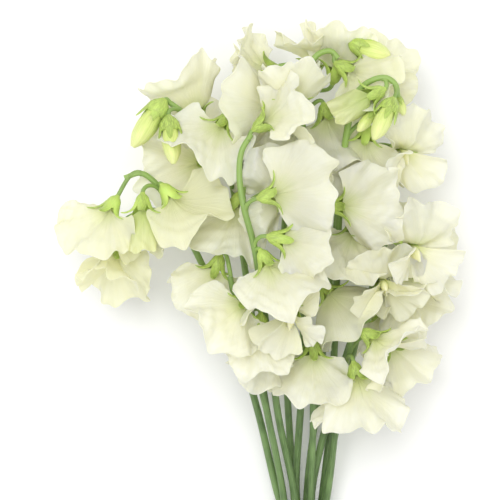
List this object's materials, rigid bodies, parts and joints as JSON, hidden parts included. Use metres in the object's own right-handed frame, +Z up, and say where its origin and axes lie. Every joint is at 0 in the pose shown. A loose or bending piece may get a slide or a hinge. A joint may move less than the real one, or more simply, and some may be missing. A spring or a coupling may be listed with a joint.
{
  "type": "sweet pea bunch",
  "caption": "Loose bunch of cut sweet peas with cream and ivory waved flowers on long green stems, held by a rubber band and lying on its side.",
  "frame": {"origin": "middle of the bunch's footprint, on the surface it lies on", "axes": "+Z up from the surface, +Y from the cut stem ends towards the flowers, +X to the right seen from above"},
  "size_m": [0.1722, 0.3226, 0.0879],
  "materials": {
    "petal": "soft matte petals, slightly see-through at the edges",
    "green_stem": "smooth waxy green stems and calyces",
    "rubber": "plain matte natural rubber"
  },
  "bodies": {
    "root": {"stem_left_nodding": "green_stem", "bloom_left_nodding_1": "petal", "bloom_left_nodding_2": "petal", "bloom_left_nodding_3": "petal", "bloom_left_nodding_4": "petal", "stem_left_top": "green_stem", "bloom_left_top_1": "petal", "bloom_left_top_2": "petal", "bloom_left_top_3": "petal", "bloom_left_top_4": "petal", "stem_centre_left": "green_stem", "bloom_centre_left_1": "petal", "bloom_centre_left_2": "petal", "bloom_centre_left_3": "petal", "bloom_centre_left_4": "petal", "bloom_centre_left_5": "petal", "bloom_centre_left_6": "petal", "stem_top_left": "green_stem", "bloom_top_left_1": "petal", "bloom_top_left_2": "petal", "bloom_top_left_3": "petal", "bloom_top_left_4": "petal", "stem_top": "green_stem", "bloom_top_1": "petal", "bloom_top_2": "petal", "bloom_top_3": "petal", "bloom_top_4": "petal", "stem_top_right": "green_stem", "bloom_top_right_1": "petal", "bloom_top_right_2": "petal", "stem_right_nodding": "green_stem", "bloom_right_nodding_1": "petal", "bloom_right_nodding_2": "petal", "bloom_right_nodding_3": "petal", "stem_right": "green_stem", "bloom_right_1": "petal", "bloom_right_2": "petal", "bloom_right_3": "petal", "bloom_right_4": "petal", "bloom_right_5": "petal", "stem_right_low": "green_stem", "bloom_right_low_1": "petal", "bloom_right_low_2": "petal", "bloom_right_low_3": "petal", "stem_low_right": "green_stem", "bloom_low_right_1": "petal", "bloom_low_right_2": "petal", "bloom_low_right_3": "petal", "stem_low_middle": "green_stem", "bloom_low_middle_1": "petal", "bloom_low_middle_2": "petal", "bloom_low_middle_3": "petal", "stem_low_left": "green_stem", "bloom_low_left_1": "petal", "bloom_low_left_2": "petal", "bloom_low_left_3": "petal", "bloom_low_left_4": "petal", "rubber_band": "rubber"}
  },
  "joints": []
}
